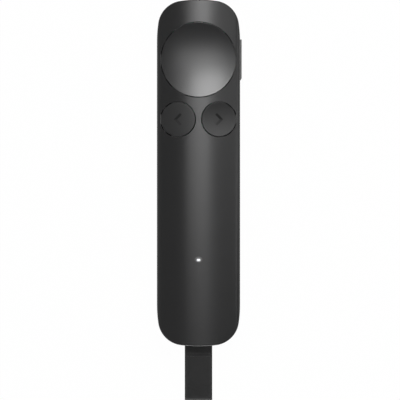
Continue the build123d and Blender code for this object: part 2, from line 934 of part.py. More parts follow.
strap_plane = Plane(origin=(0, bar_y, bay_middle_z), x_dir=(0, 1, 0), z_dir=(1, 0, 0))
strap_bar_opening = bar_radius + bar_clearance + strap_thickness / 2
strap_fold_place = strap_reach + bar_from_end - strap_thickness / 2 - strap_fold_opening
strap_wrap_slope = math.degrees(math.asin((strap_bar_opening - strap_neck_opening) / strap_neck))


def strap_outline(grow):
    """Side view of the folded loop: round the bar, in at the neck, and out at the fold."""
    stations = (
        (0, strap_bar_opening), (strap_neck, strap_neck_opening),
        (strap_flare_start, strap_neck_opening), (strap_fold_place, strap_fold_opening),
    )
    outline = Sketch()
    for (start, start_opening), (end, end_opening) in zip(stations, stations[1:]):
        first = Pos(-start, 0) * Circle(start_opening + grow)
        second = Pos(-end, 0) * Circle(end_opening + grow)
        outline += make_hull(first.edges() + second.edges())
    return outline


def strap_loop():
    half = strap_thickness / 2
    outline = strap_plane * (strap_outline(half) - strap_outline(-half))
    return extrude(outline, strap_width / 2, both=True)


def bar_cylinder(radius, length):
    return Pos(0, bar_y, bay_middle_z) * Cylinder(radius, length, rotation=(0, 90, 0))


cap_half_width = bay_width / 2 - cap_side_gap


def strap_bar():
    return bar_cylinder(bar_radius, 2 * (cap_half_width - bar_end_gap))


def receiver_cap():
    cap = block(centred(0, 2 * cap_half_width), (-half_length - past, cap_end_y),
                centred(bay_middle_z, bay_height - 2 * cap_face_gap))
    cap = cap & extrude(plan_outline(0), casing_height)
    cap = fillet(cap.edges().filter_by(Axis.Y), cap_edge_rounding)
    strap_room = extrude(cap_recess(), strap_width / 2 + recess_side_gap, both=True)
    plug_slot = plug_block(-plug_fit, plug_fit, plug_root_y)
    board_room = block(
        centred(0, receiver_board_width + 2 * receiver_board_room),
        (receiver_board_rear_y - receiver_board_room, cap_end_y + past),
        (bay_middle_z - receiver_board_thickness - receiver_chip_room, bay_middle_z + receiver_chip_room),
    )
    return cap - strap_room - plug_slot - board_room - bar_cylinder(bar_radius + plug_fit, bay_width)


receiver_board_rear_y = cap_end_y - receiver_board_root
plug_root_y = cap_end_y - plug_root


def plug_block(inset, extra, rear_y):
    """The plug's rounded rectangle from a rear end to its tip."""
    outline = RectangleRounded(plug_width - 2 * inset, plug_height - 2 * inset, plug_corner - inset)
    return along_y(Plane.XZ * Pos(0, bay_middle_z) * outline, rear_y, plug_end_y + extra)


def plug_windows(z_range):
    """The pair of square holes that a socket's springs drop into."""
    pair = [
        block(centred(x, plug_window_width),
              centred(plug_end_y - plug_window_from_tip, plug_window_length), z_range)
        for x in (-plug_window_x, plug_window_x)
    ]
    return pair[0] + pair[1]


def receiver_plug_shell():
    shell = plug_block(0, 0, plug_root_y) - plug_block(plug_wall, past, plug_root_y - past)
    return shell - plug_windows((0, casing_height))


def receiver_tongue():
    top = bay_middle_z + plug_height / 2 - plug_wall - plug_fit
    body = block(centred(0, plug_width - 2 * plug_wall - 2 * tongue_side_gap),
                 (plug_root_y, plug_end_y - tongue_tip_gap), (bay_middle_z, top))
    return body - plug_windows((top - plug_wall, top + past))


def receiver_board():
    return block(centred(0, receiver_board_width),
                 (receiver_board_rear_y, plug_end_y - receiver_board_tip_gap),
                 (bay_middle_z - receiver_board_thickness, bay_middle_z))


def receiver_contacts():
    """Four gold strips under the receiver's board."""
    pieces = []
    low = bay_middle_z - receiver_board_thickness - contact_thickness
    y_high = plug_end_y - contact_from_tip
    for x in contact_xs:
        pieces.append(block(centred(x, contact_width), (y_high - contact_length, y_high),
                            (low, low + contact_thickness)))
    return Compound(children=pieces)


def screw(x, y, head_top, radius, head_radius, head_height, length):
    """A pan-head screw pointing up, with a cross recess in its head."""
    head = disc(head_radius, x, y, (head_top - head_height, head_top))
    head = fillet(head.faces().sort_by(Axis.Z)[0].edges(), 0.25 * head_height)
    body = head + disc(radius, x, y, (head_top - head_height / 2, head_top + length))
    heights = (head_top - 2 * head_height, head_top - head_height / 2)
    cross = block(centred(x, head_radius), centred(y, cross_slot_width), heights)
    cross += block(centred(x, cross_slot_width), centred(y, head_radius), heights)
    return body - cross


def case_screws():
    return Compound(children=[
        screw(x, y, case_screw_recess, case_screw_radius, case_screw_head_radius,
              case_screw_head_height, case_screw_length)
        for x, y in case_screw_places
    ])


def board_screws():
    return Compound(children=[
        screw(x, y, board_bottom, board_screw_radius, board_screw_head_radius,
              board_screw_head_height, board_screw_length)
        for x in (-board_screw_x, board_screw_x) for y in board_screw_ys
    ])


nodes = {
    "front_shell": front_shell(),
    "rear_shell": rear_shell(),
    "case_screws": case_screws(),
    "board_screws": board_screws(),
    "pointer_key": pointer_key(),
    "back_key": back_key(),
    "next_key": next_key(),
    "side_key": side_key(),
    "main_board": main_board(),
    "pointer_switch": tact_switch(0, pointer_key_y, pointer_switch_width, pointer_switch_height,
                                  pointer_plunger_radius, pointer_key_travel),
    "pointer_plunger": tact_plunger(0, pointer_key_y, pointer_switch_height,
                                    pointer_plunger_radius, plunger_top_pointer),
    "back_switch": tact_switch(-small_key_x, small_key_y, small_switch_width,
                               small_switch_height, small_plunger_radius, small_key_travel),
    "back_plunger": tact_plunger(-small_key_x, small_key_y, small_switch_height,
                                 small_plunger_radius, plunger_top_small),
    "next_switch": tact_switch(small_key_x, small_key_y, small_switch_width,
                               small_switch_height, small_plunger_radius, small_key_travel),
    "next_plunger": tact_plunger(small_key_x, small_key_y, small_switch_height,
                                 small_plunger_radius, plunger_top_small),
    "side_switch": side_switch(),
    "side_plunger": side_plunger_box(0, 0),
    "radio_shield": radio_shield(),
    "microcontroller": chip(-2.2, shield_y, 6.0, 6.0, 0.85),
    "crystal": chip(3.6, shield_y + 2.6, 2.5, 2.0, 0.6),
    "motion_sensor": chip(0, -18.5, 3.0, 2.5, 0.83),
    "charger_chip": chip(-4.6, -29.5, 3.0, 3.0, 0.75),
    "power_inductor": chip(4.8, -29.5, 3.2, 3.2, 1.2),
    "board_capacitors": board_capacitors(),
    "chip_antenna": chip_antenna(),
    "status_led": status_led(),
    "light_pipe": light_pipe(),
    "charging_port_shell": charging_port_shell(),
    "charging_port_tongue": charging_port_tongue(),
    "battery_cell": battery_cell(),
    "battery_guard_board": battery_guard_board(),
    "battery_tape": battery_tape(),
    "battery_connector": battery_connector(),
    "battery_leads": battery_leads(),
    "vibration_motor": vibration_motor(),
    "motor_leads": motor_leads(),
    "receiver_sleeve": receiver_sleeve(),
    "detent_springs": detent_springs(),
    "receiver_cap": receiver_cap(),
    "receiver_plug_shell": receiver_plug_shell(),
    "receiver_tongue": receiver_tongue(),
    "receiver_board": receiver_board(),
    "receiver_contacts": receiver_contacts(),
    "strap_bar": strap_bar(),
    "strap_loop": strap_loop(),
}

os.makedirs(node_folder, exist_ok=True)
for name, shape in nodes.items():
    export_step(shape, f"{node_folder}/{name}.step")
print("wrote", len(nodes), "nodes")
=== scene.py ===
import math

import bpy
from mathutils import Matrix, Vector


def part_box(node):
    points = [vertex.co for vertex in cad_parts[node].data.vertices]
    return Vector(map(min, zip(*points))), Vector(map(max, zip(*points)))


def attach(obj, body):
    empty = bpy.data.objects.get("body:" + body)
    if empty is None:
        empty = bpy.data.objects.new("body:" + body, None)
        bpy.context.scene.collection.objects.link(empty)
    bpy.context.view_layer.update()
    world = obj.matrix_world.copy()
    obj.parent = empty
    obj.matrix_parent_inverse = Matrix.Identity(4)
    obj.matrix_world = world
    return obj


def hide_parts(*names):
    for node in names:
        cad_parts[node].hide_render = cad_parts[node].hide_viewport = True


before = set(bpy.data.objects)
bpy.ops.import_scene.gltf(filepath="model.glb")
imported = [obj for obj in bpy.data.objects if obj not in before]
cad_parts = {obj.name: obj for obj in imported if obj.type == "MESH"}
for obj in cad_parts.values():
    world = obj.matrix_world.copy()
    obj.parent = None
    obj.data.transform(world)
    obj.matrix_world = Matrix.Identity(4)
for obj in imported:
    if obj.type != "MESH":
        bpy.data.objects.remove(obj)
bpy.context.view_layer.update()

mm = 0.001
noiseMean = 0.5
surfaceOutputs = {"Color": "NodeSocketColor", "Roughness": "NodeSocketFloat",
                  "Height": "NodeSocketFloat"}


def cornersOf(nodeName):
    # lowest and highest corner, to the nearest micrometre
    return [[round(value, 6) for value in corner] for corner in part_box(nodeName)]


def middleOf(nodeName):
    low, high = cornersOf(nodeName)
    return [(start + end) / 2 for start, end in zip(low, high)]


def grey(level):
    return (level, level, level, 1)


# Helpers for node trees
def feed(tree, node, inputs):
    # joins or sets each input, by its name or number
    for label, value in inputs.items():
        if isinstance(value, bpy.types.NodeSocket):
            tree.links.new(value, node.inputs[label])
        else:
            node.inputs[label].default_value = value


def put(tree, kind, inputs=None, **settings):
    node = tree.nodes.new(kind)
    for label, value in settings.items():
        setattr(node, label, value)
    feed(tree, node, inputs or {})
    return node


def calc(tree, operation, *values, clamp=False):
    inputs = dict(enumerate(values))
    return put(tree, "ShaderNodeMath", inputs, operation=operation, use_clamp=clamp).outputs[0]


def vectorCalc(tree, operation, *values):
    node = put(tree, "ShaderNodeVectorMath", dict(enumerate(values)), operation=operation)
    return node.outputs["Value" if operation == "LENGTH" else "Vector"]


def mixValue(tree, amount, first, second):
    return put(tree, "ShaderNodeMix", {0: amount, 2: first, 3: second}).outputs[0]


def mixColour(tree, amount, first, second):
    inputs = {0: amount, 6: first, 7: second}
    return put(tree, "ShaderNodeMix", inputs, data_type="RGBA").outputs[2]


def remap(tree, value, limits, results, **settings):
    # the first limit gives the first result, and the second limit the second
    inputs = {0: value, 1: limits[0], 2: limits[1], 3: results[0], 4: results[1]}
    return put(tree, "ShaderNodeMapRange", inputs, **settings).outputs[0]


def noise(tree, vector, scale, detail=2.0):
    inputs = {"Vector": vector, "Scale": scale, "Detail": detail}
    return put(tree, "ShaderNodeTexNoise", inputs).outputs["Fac"]


def varied(tree, value, spread, *noises):
    # each noise moves the value up or down by half the spread at most
    for level in noises:
        swing = calc(tree, "SUBTRACT", level, noiseMean)
        value = calc(tree, "MULTIPLY_ADD", swing, spread, value)
    return value


def newGroup(name, values, outputs=surfaceOutputs):
    # a vector input, and one input for each value: a number, or a colour of four
    group = bpy.data.node_groups.new(name, "ShaderNodeTree")
    group.interface.new_socket(name="Vector", in_out="INPUT", socket_type="NodeSocketVector")
    for label, value in values.items():
        kind = "NodeSocketColor" if isinstance(value, tuple) else "NodeSocketFloat"
        socket = group.interface.new_socket(name=label, in_out="INPUT", socket_type=kind)
        socket.default_value = value
    for label, kind in outputs.items():
        group.interface.new_socket(name=label, in_out="OUTPUT", socket_type=kind)
    given = group.nodes.new("NodeGroupInput").outputs
    out = group.nodes.new("NodeGroupOutput").inputs
    return group, given, out


def sendOut(group, out, **results):
    for label, socket in results.items():
        group.links.new(socket, out[label])
    return group


# Fine moulded texture, with slow changes of tone and gloss
def makeMouldedSkin():
    cloudScale, cloudDetail = 70.0, 3.0
    group, given, out = newGroup("mouldedSkin", {
        "Color": grey(0.02), "Grain Size": 0.25 * mm, "Tone Spread": 0.1, "Roughness": 0.3,
        "Gloss Spread": 0.05,
    })
    grain = noise(group, given["Vector"], calc(group, "DIVIDE", 1.0, given["Grain Size"]))
    cloud = noise(group, given["Vector"], cloudScale, cloudDetail)
    tone = varied(group, 1.0, given["Tone Spread"], cloud, grain)
    return sendOut(group, out,
                   Color=vectorCalc(group, "MULTIPLY", given["Color"], tone),
                   Roughness=varied(group, given["Roughness"], given["Gloss Spread"], cloud),
                   Height=grain)


# Rolled or drawn metal: fine scratches, which a stretched vector makes long
def makeDrawnMetal():
    scratchDetail = 3.0
    tarnishScale = 160.0
    group, given, out = newGroup("drawnMetal", {
        "Color": grey(0.6), "Scratch Size": 0.1 * mm, "Tone Spread": 0.1, "Roughness": 0.25,
        "Gloss Spread": 0.2,
    })
    scratchScale = calc(group, "DIVIDE", 1.0, given["Scratch Size"])
    scratch = noise(group, given["Vector"], scratchScale, scratchDetail)
    tarnish = noise(group, given["Vector"], tarnishScale)
    tone = varied(group, 1.0, given["Tone Spread"], tarnish, scratch)
    return sendOut(group, out,
                   Color=vectorCalc(group, "MULTIPLY", given["Color"], tone),
                   Roughness=varied(group, given["Roughness"], given["Gloss Spread"], scratch),
                   Height=scratch)


# Plain weave from a map in metres: x across the webbing, y along it
def makeWebbingWeave():
    fuzzScale, fuzzHeight, fuzzGloss = 2600.0, 0.35, 0.2
    ribHeight = 0.3
    deep, proud, proudLightTone = 0.1, 0.9, 1.15
    group, given, out = newGroup("webbingWeave", {
        "Color": grey(0.03), "Gap Shade": 0.5, "Thread Pitch": 0.5 * mm,
        "Half Width": 5 * mm, "Selvedge Width": 1 * mm, "Selvedge Tone": 1.3,
        "Roughness": 0.7,
    })
    place = put(group, "ShaderNodeSeparateXYZ", {0: given["Vector"]}).outputs
    turns = calc(group, "DIVIDE", math.pi, given["Thread Pitch"])
    across = calc(group, "SINE", calc(group, "MULTIPLY", place["X"], turns))
    along = calc(group, "SINE", calc(group, "MULTIPLY", place["Y"], turns))
    # over and under: the product of the two waves picks the thread that lies on top
    warp = calc(group, "ABSOLUTE", across)
    weft = calc(group, "ABSOLUTE", along)
    both = calc(group, "MULTIPLY", across, along)
    top = calc(group, "MULTIPLY_ADD", both, 0.5, 0.5, clamp=True)
    woven = mixValue(group, top, weft, warp)
    # the bound edge has low ribs across it and no weave
    fromEdge = calc(group, "SUBTRACT", given["Half Width"], calc(group, "ABSOLUTE", place["X"]))
    edge = calc(group, "LESS_THAN", fromEdge, given["Selvedge Width"])
    ribs = calc(group, "MULTIPLY_ADD", weft, ribHeight, 1 - ribHeight)
    fuzz = noise(group, given["Vector"], fuzzScale)
    rise = varied(group, mixValue(group, edge, woven, ribs), fuzzHeight, fuzz)
    # painted shade in the gaps between threads and painted light on the proud thread tops
    tone = remap(group, rise, (deep, proud), (given["Gap Shade"], proudLightTone))
    tone = calc(group, "MULTIPLY", tone, mixValue(group, edge, 1.0, given["Selvedge Tone"]))
    return sendOut(group, out,
                   Color=vectorCalc(group, "MULTIPLY", given["Color"], tone),
                   Roughness=varied(group, given["Roughness"], fuzzGloss, fuzz),
                   Height=rise)


# An arrow head's groove as a mask of painted shade: 1 on its two strokes, fainter on the lower one
def makeChevronGrooveShade():
    softEdge = (-0.05 * mm, 0.08 * mm)  # from just inside a stroke to just outside it
    endRoom = 0.05 * mm
    group, given, out = newGroup("chevronGrooveShade", {
        "Tip X": 0.0, "Tip Y": 0.0, "Way": 1.0, "Reach": 2 * mm, "Stroke": 0.9 * mm,
        "Lower Stroke Shade": 0.6,
    }, {"Mask": "NodeSocketFloat"})
    place = put(group, "ShaderNodeSeparateXYZ", {0: given["Vector"]}).outputs
    rise = calc(group, "SUBTRACT", place["Y"], given["Tip Y"])
    up = calc(group, "ABSOLUTE", rise)
    back = calc(group, "SUBTRACT", given["Tip X"], place["X"])
    back = calc(group, "MULTIPLY", back, given["Way"])
    # distance from the middle line of the nearer stroke, which runs at 45 degrees
    aside = calc(group, "ABSOLUTE", calc(group, "SUBTRACT", back, up))
    aside = calc(group, "MULTIPLY", aside, math.sqrt(0.5))
    outside = calc(group, "SUBTRACT", aside, calc(group, "MULTIPLY", given["Stroke"], 0.5))
    inStroke = remap(group, outside, softEdge, (1.0, 0.0))
    along = calc(group, "MULTIPLY", calc(group, "ADD", back, up), 0.5)
    inReach = calc(group, "LESS_THAN", along, calc(group, "ADD", given["Reach"], endRoom))
    lower = calc(group, "LESS_THAN", rise, 0.0)
    share = mixValue(group, lower, 1.0, given["Lower Stroke Shade"])
    mask = calc(group, "MULTIPLY", calc(group, "MULTIPLY", inStroke, inReach), share)
    return sendOut(group, out, Mask=mask)


# Solder mask over copper tracks
def makeBoardTracks():
    trackEdge = (0.42, 0.5)  # share of a cell where a track begins, and where it is whole
    group, given, out = newGroup("boardTracks", {
        "Color": (0.01, 0.08, 0.04, 1), "Track Color": (0.03, 0.16, 0.07, 1),
        "Pitch": 1.2 * mm, "Roughness": 0.35, "Track Roughness": 0.25,
    })
    scale = calc(group, "DIVIDE", 1.0, given["Pitch"])
    cells = put(group, "ShaderNodeTexVoronoi", {"Vector": given["Vector"], "Scale": scale},
                distance="CHEBYCHEV", feature="F1").outputs
    track = remap(group, cells["Distance"], trackEdge, (0.0, 1.0))
    return sendOut(group, out,
                   Color=mixColour(group, track, given["Color"], given["Track Color"]),
                   Roughness=mixValue(group, track, given["Roughness"],
                                      given["Track Roughness"]),
                   Height=track)


mouldedSkin = makeMouldedSkin()
drawnMetal = makeDrawnMetal()
webbingWeave = makeWebbingWeave()
chevronGrooveShade = makeChevronGrooveShade()
boardTracks = makeBoardTracks()
print("node groups made")


# Helpers for materials
def startMaterial(name):
    material = bpy.data.materials.new(name)
    material.use_nodes = True
    tree = material.node_tree
    return material, tree, tree.nodes["Principled BSDF"]


def useGroup(tree, group, vector, values):
    return put(tree, "ShaderNodeGroup", {"Vector": vector, **values}, node_tree=group)


def finishSurface(tree, shader, node, depth):
    # colour, gloss and height from a group into the shader
    relief = {"Height": node.outputs["Height"], "Distance": depth, "Strength": 1.0}
    feed(tree, shader, {
        "Base Color": node.outputs["Color"], "Roughness": node.outputs["Roughness"],
        "Normal": put(tree, "ShaderNodeBump", relief).outputs[0],
    })


def objectPlace(tree, stretch=None):
    place = put(tree, "ShaderNodeTexCoord").outputs["Object"]
    if stretch is None:
        return place
    return put(tree, "ShaderNodeMapping", {"Vector": place, "Scale": stretch}).outputs[0]


def dress(nodeNames, material):
    for nodeName in nodeNames:
        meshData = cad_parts[nodeName].data
        meshData.materials.clear()
        meshData.materials.append(material)


plasticIor = 1.5  # where a look gives no other


def mouldedMaterial(name, look):
    material, tree, shader = startMaterial(name)
    skin = useGroup(tree, mouldedSkin, objectPlace(tree), {
        "Color": look["colour"] + (1,), "Grain Size": look["grain"] * mm,
        "Tone Spread": look["tone"], "Roughness": look["rough"], "Gloss Spread": look["gloss"],
    })
    finishSurface(tree, shader, skin, look["depth"] * mm)
    shader.inputs["IOR"].default_value = look.get("ior", plasticIor)
    return material, tree, shader, skin


def metalMaterial(name, look):
    material, tree, shader = startMaterial(name)
    metal = useGroup(tree, drawnMetal, objectPlace(tree, look["stretch"]), {
        "Color": look["colour"] + (1,), "Scratch Size": look["scratch"] * mm,
        "Tone Spread": look["tone"], "Roughness": look["rough"], "Gloss Spread": look["gloss"],
    })
    finishSurface(tree, shader, metal, look["depth"] * mm)
    shader.inputs["Metallic"].default_value = 1.0
    return material


# Sizes in the looks are in millimetres

# Casing: dark satin shells, with a faint painted glow round the status light: emission on the
# shell standing in for the light's spill
casingLook = {"colour": (0.0185, 0.0185, 0.0188), "grain": 0.22, "tone": 0.08, "rough": 0.235,
              "gloss": 0.03, "depth": 0.004}
paintedSpill = {"shift": 0.25, "squeeze": (0.8, 1, 1), "inner": 0.45, "outer": 1.4, "level": 0.1}
pipeMiddle = middleOf("light_pipe")
pipeTop = cornersOf("light_pipe")[1][2]
casingSatin, tree, shader, _ = mouldedMaterial("casing satin", casingLook)
# painted light: the shell itself glows near the light pipe, though it is no lamp
spillMiddle = (pipeMiddle[0], pipeMiddle[1] + paintedSpill["shift"] * mm, pipeTop)
fromLight = vectorCalc(tree, "SUBTRACT", objectPlace(tree), spillMiddle)
fromLight = vectorCalc(tree, "MULTIPLY", fromLight, paintedSpill["squeeze"])
glow = remap(tree, vectorCalc(tree, "LENGTH", fromLight),
             (paintedSpill["inner"] * mm, paintedSpill["outer"] * mm), (paintedSpill["level"], 0.0),
             interpolation_type="SMOOTHSTEP")
feed(tree, shader, {"Emission Color": mixColour(tree, glow, grey(0.0), grey(1.0)),
                    "Emission Strength": 1.0})
dress(["front_shell", "rear_shell"], casingSatin)

# Keys: the dish matches the casing, and the others are flatter, each in its own tone: painted
# light makes the side key and the back key lighter, and painted shade makes the next key darker
dishLook = dict(casingLook, grain=0.2)
dress(["pointer_key"], mouldedMaterial("dish satin", dishLook)[0])
sideKeyPaintedLightLook = dict(casingLook, colour=(0.022, 0.022, 0.0223), rough=0.3)
dress(["side_key"], mouldedMaterial("side key satin", sideKeyPaintedLightLook)[0])
smallKeyLook = {"grain": 0.2, "tone": 0.08, "rough": 0.3, "gloss": 0.03, "depth": 0.004,
                "tipOut": 1.0, "grooveShade": (0.006, 0.006, 0.0061, 1), "fillRough": 0.85}
# the back key and the next key are alike; their colours differ only as painted light and painted
# shade
smallKeys = {
    "back_key": {"colour": (0.023, 0.023, 0.0233), "ior": 1.46, "way": -1.0},
    "next_key": {"colour": (0.0165, 0.0165, 0.0168), "ior": 1.45, "way": 1.0},
}
for keyName, own in smallKeys.items():
    keySatin, tree, shader, skin = mouldedMaterial(keyName.replace("_", " ") + " satin",
                                                   dict(smallKeyLook, **own))
    keyX, keyY, _ = middleOf(keyName)
    grooveShadeMask = useGroup(tree, chevronGrooveShade, objectPlace(tree), {
        "Tip X": keyX + own["way"] * smallKeyLook["tipOut"] * mm, "Tip Y": keyY,
        "Way": own["way"]}).outputs["Mask"]
    # painted shade darkens the groove, less on its lower stroke
    feed(tree, shader, {
        "Base Color": mixColour(tree, grooveShadeMask, skin.outputs["Color"], smallKeyLook["grooveShade"]),
        "Roughness": mixValue(tree, grooveShadeMask, skin.outputs["Roughness"],
                              smallKeyLook["fillRough"]),
    })
    dress([keyName], keySatin)

# Other moulded pieces, from the receiver inwards
mouldedLooks = {
    "receiver cap satin": {
        "nodes": ["receiver_cap"], "colour": (0.018, 0.018, 0.0185), "grain": 0.25, "tone": 0.1,
        "rough": 0.38, "gloss": 0.05, "depth": 0.004},
    "bay liner": {
        "nodes": ["receiver_sleeve"], "colour": (0.014, 0.014, 0.0145), "grain": 0.3, "tone": 0.1,
        "rough": 0.5, "gloss": 0.08, "depth": 0.005},
    "contact tongue": {
        "nodes": ["charging_port_tongue", "receiver_tongue"], "colour": (0.012, 0.012, 0.012),
        "grain": 0.15, "tone": 0.12, "rough": 0.45, "gloss": 0.08, "depth": 0.003},
    "switch button": {
        "nodes": ["pointer_plunger", "back_plunger", "next_plunger", "side_plunger"],
        "colour": (0.02, 0.02, 0.02), "grain": 0.1, "tone": 0.15, "rough": 0.4, "gloss": 0.08,
        "depth": 0.002},
    "chip resin": {
        "nodes": ["microcontroller", "motion_sensor", "charger_chip", "power_inductor"],
        "colour": (0.016, 0.016, 0.018), "grain": 0.08, "tone": 0.2, "rough": 0.55, "gloss": 0.1,
        "depth": 0.003},
    "fired ceramic": {
        "nodes": ["board_capacitors", "chip_antenna"], "colour": (0.42, 0.31, 0.2), "grain": 0.08,
        "tone": 0.3, "rough": 0.45, "gloss": 0.1, "depth": 0.002},
    "lamp housing": {
        "nodes": ["status_led"], "colour": (0.85, 0.82, 0.6), "grain": 0.1, "tone": 0.08,
        "rough": 0.3, "gloss": 0.05, "depth": 0.001},
    "connector nylon": {
        "nodes": ["battery_connector"], "colour": (0.8, 0.77, 0.68), "grain": 0.15, "tone": 0.08,
        "rough": 0.42, "gloss": 0.06, "depth": 0.003},
    "lead insulation": {
        "nodes": ["battery_leads", "motor_leads"], "colour": (0.42, 0.02, 0.02), "grain": 0.1,
        "tone": 0.15, "rough": 0.42, "gloss": 0.08, "depth": 0.002},
    "fleece tape": {
        "nodes": ["battery_tape"], "colour": (0.68, 0.67, 0.62), "grain": 0.12, "tone": 0.25,
        "rough": 0.85, "gloss": 0.1, "depth": 0.02},
}
for name, look in mouldedLooks.items():
    dress(look["nodes"], mouldedMaterial(name, look)[0])

# Metals
metalLooks = {
    "nickel plate": {
        "nodes": ["charging_port_shell", "receiver_plug_shell"], "colour": (0.62, 0.61, 0.59),
        "scratch": 0.12, "stretch": (1, 0.12, 1), "tone": 0.12, "rough": 0.2, "gloss": 0.12,
        "depth": 0.001},
    "motor can": {
        "nodes": ["vibration_motor"], "colour": (0.6, 0.6, 0.6), "scratch": 0.1,
        "stretch": (1, 1, 0.2), "tone": 0.15, "rough": 0.24, "gloss": 0.15, "depth": 0.001},
    "spring steel": {
        "nodes": ["detent_springs", "strap_bar"], "colour": (0.5, 0.5, 0.51), "scratch": 0.06,
        "stretch": (0.15, 0.6, 1), "tone": 0.15, "rough": 0.3, "gloss": 0.15, "depth": 0.002},
    "tinned cover": {
        "nodes": ["radio_shield", "crystal"], "colour": (0.66, 0.65, 0.62), "scratch": 0.1,
        "stretch": (1, 0.15, 1), "tone": 0.12, "rough": 0.34, "gloss": 0.15, "depth": 0.002},
    "switch cover": {
        "nodes": ["pointer_switch", "back_switch", "next_switch", "side_switch"],
        "colour": (0.55, 0.55, 0.55), "scratch": 0.08, "stretch": (0.2, 1, 1), "tone": 0.15,
        "rough": 0.32, "gloss": 0.15, "depth": 0.002},
    "blackened screw": {
        "nodes": ["case_screws", "board_screws"], "colour": (0.07, 0.07, 0.073), "scratch": 0.06,
        "stretch": (1, 1, 0.3), "tone": 0.3, "rough": 0.36, "gloss": 0.2, "depth": 0.002},
    "contact gold": {
        "nodes": ["receiver_contacts"], "colour": (0.83, 0.58, 0.2), "scratch": 0.08,
        "stretch": (1, 0.1, 1), "tone": 0.12, "rough": 0.22, "gloss": 0.12, "depth": 0.001},
    "cell foil": {
        "nodes": ["battery_cell"], "colour": (0.6, 0.61, 0.62), "scratch": 0.5,
        "stretch": (1, 0.3, 1), "tone": 0.12, "rough": 0.36, "gloss": 0.2, "depth": 0.02},
}
for name, look in metalLooks.items():
    dress(look["nodes"], metalMaterial(name, look))

# Circuit boards
boardLook = {"mask": (0.008, 0.07, 0.035, 1), "tracks": (0.02, 0.14, 0.06, 1), "pitch": 1.3,
             "rough": 0.35, "trackRough": 0.25, "depth": 0.02}
boardMask, tree, shader = startMaterial("green solder mask")
tracks = useGroup(tree, boardTracks, objectPlace(tree), {
    "Color": boardLook["mask"], "Track Color": boardLook["tracks"],
    "Pitch": boardLook["pitch"] * mm, "Roughness": boardLook["rough"],
    "Track Roughness": boardLook["trackRough"]})
finishSurface(tree, shader, tracks, boardLook["depth"] * mm)
dress(["main_board", "receiver_board", "battery_guard_board"], boardMask)

# Status light: clear pipe, lit from below and brightest near its middle
lightLook = {"colour": (0.9, 0.92, 0.95), "grain": 0.3, "tone": 0.04, "rough": 0.25, "gloss": 0.05,
             "depth": 0.001, "shift": 0.28, "halfSize": (0.8, 0.62),
             "core": (0.95, 0.96, 0.98, 1), "rim": (0.1, 0.1, 0.103, 1),
             "veil": 0.6, "veilGrey": 0.1}
lightGuide, tree, shader, skin = mouldedMaterial("lit light guide", lightLook)
place = put(tree, "ShaderNodeSeparateXYZ", {0: objectPlace(tree)}).outputs
coreMiddle = (pipeMiddle[0], pipeMiddle[1] + lightLook["shift"] * mm)
squares = []
for axis, middle, half in zip("XY", coreMiddle, lightLook["halfSize"]):
    off = calc(tree, "DIVIDE", calc(tree, "SUBTRACT", place[axis], middle), half * mm)
    squares.append(calc(tree, "MULTIPLY", off, off))
fromCore = calc(tree, "ADD", squares[0], squares[1], clamp=True)
feed(tree, shader, {
    "Base Color": mixColour(tree, lightLook["veil"], skin.outputs["Color"],
                            grey(lightLook["veilGrey"])),
    "Emission Color": mixColour(tree, fromCore, lightLook["core"], lightLook["rim"]),
    "Emission Strength": 1.0,
})
dress(["light_pipe"], lightGuide)
print("materials made for", len(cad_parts), "nodes")


# Helpers for modelling
def deselectAll():
    if bpy.context.object and bpy.context.object.mode != "OBJECT":
        bpy.ops.object.mode_set(mode="OBJECT")
    bpy.ops.object.select_all(action="DESELECT")


def useOnly(piece):
    deselectAll()
    piece.select_set(True)
    bpy.context.view_layer.objects.active = piece


def pickVertices(piece, wanted):
    # in edit mode, selects only the vertices whose place passes the test
    bpy.ops.mesh.select_all(action="DESELECT")
    bpy.ops.mesh.select_mode(type="VERT")
    bpy.ops.object.mode_set(mode="OBJECT")
    for vertex in piece.data.vertices:
        vertex.select = wanted(vertex.co)
    bpy.ops.object.mode_set(mode="EDIT")


def addModifier(piece, kind, **settings):
    modifier = piece.modifiers.new(kind.lower(), kind)
    for label, value in settings.items():
        setattr(modifier, label, value)
    useOnly(piece)
    bpy.ops.object.modifier_apply(modifier=modifier.name)


def smooth(piece, degrees):
    useOnly(piece)
    bpy.ops.object.shade_smooth_by_angle(angle=math.radians(degrees))


# Webbing loop, closed round the bar; slopes, angles and turnPitch in degrees
strap = {
    "width": 10.3 * mm, "thickness": 0.72 * mm, "edgeRound": 0.3 * mm, "edgeSegments": 3,
    "edgeAngle": 60, "smoothAngle": 50, "mergeRoom": 0.02 * mm,
    "barRadius": 1.2 * mm, "neckHeight": 0.45 * mm, "neckSlope": 13.5, "bendRadius": 3.0 * mm,
    "foldRadius": 1.15 * mm, "foldSlope": 10.4,
    "foldIn": 1.525 * mm,  # from the far end of the loop to the middle of its fold
    "runPitch": 0.8 * mm, "turnPitch": 6.0,
    "colour": (0.0125, 0.0125, 0.0128), "gapShade": 0.5, "threadPitch": 0.42 * mm,
    "selvedgeWidth": 1.1 * mm, "selvedgeTone": 0.95, "rough": 0.65, "weaveDepth": 0.09 * mm,
    "sheen": 0.25, "sheenRough": 0.5, "shine": 0.33,
}
_, barY, barZ = middleOf("strap_bar")
foldY = cornersOf("strap_loop")[0][1] + strap["foldIn"]


def slopeFrom(radius, slope):
    # the straight run between a round end and the flat, and how far all of it reaches
    turn = math.radians(slope)
    bend = strap["bendRadius"]
    fall = radius * math.cos(turn) - strap["neckHeight"] - bend * (1 - math.cos(turn))
    run = fall / math.sin(turn)
    return run, radius * math.sin(turn) + run * math.cos(turn) + bend * math.sin(turn)


